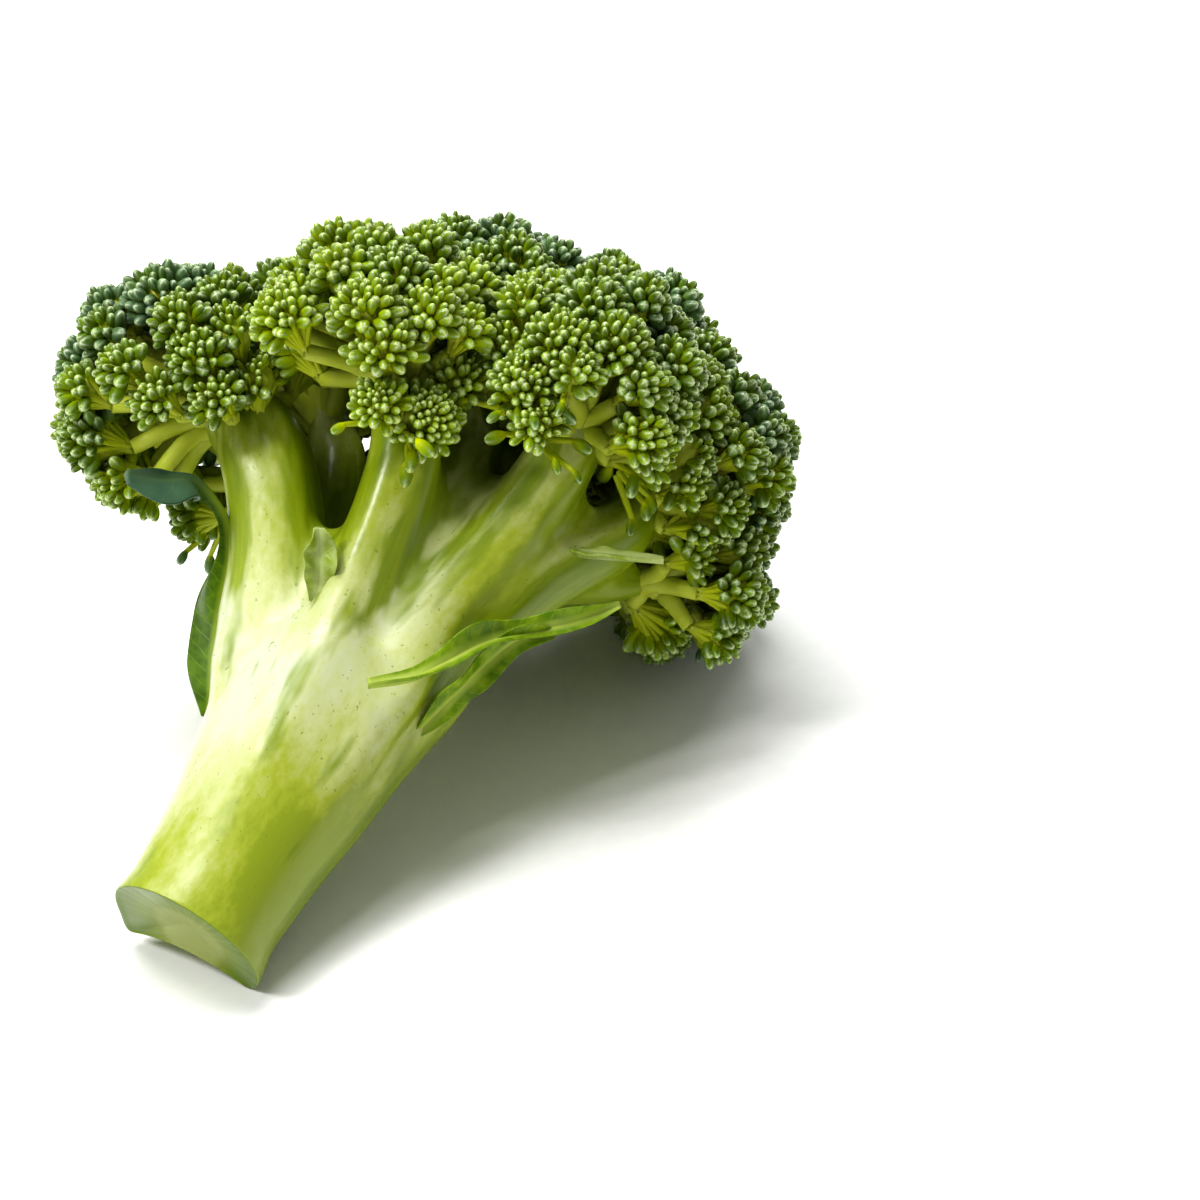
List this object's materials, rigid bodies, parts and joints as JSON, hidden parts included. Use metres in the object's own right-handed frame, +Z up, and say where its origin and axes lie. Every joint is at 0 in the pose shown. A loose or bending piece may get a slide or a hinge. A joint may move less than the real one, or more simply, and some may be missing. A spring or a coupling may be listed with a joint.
{
  "type": "broccoli head",
  "caption": "Fresh broccoli head lying on its side, with a cut pale stalk that forks into branches, domed florets of buds and small leaves.",
  "frame": {"origin": "middle of the footprint of the whole head, on the surface it lies on", "axes": "+Z up from the surface; +Y away from the viewer of the picture, the way the crown points; +X to the viewer's right"},
  "size_m": [0.1636, 0.178, 0.1208],
  "materials": {
    "stalk": null,
    "florets": null,
    "leaves": null,
    "bracts": null
  },
  "bodies": {
    "root": {"stalk": "stalk", "floret_left": "florets", "floret_front_left": "florets", "floret_top": "florets", "floret_front_right": "florets", "floret_right": "florets", "floret_low_right": "florets", "floret_back_right": "florets", "floret_back": "florets", "floret_back_left": "florets", "floret_top_right": "florets", "floret_top_left": "florets", "floret_top_back": "florets", "leaf_left": "leaves", "leaf_right": "leaves", "bract_right": "bracts", "bract_fork": "bracts"}
  },
  "joints": []
}
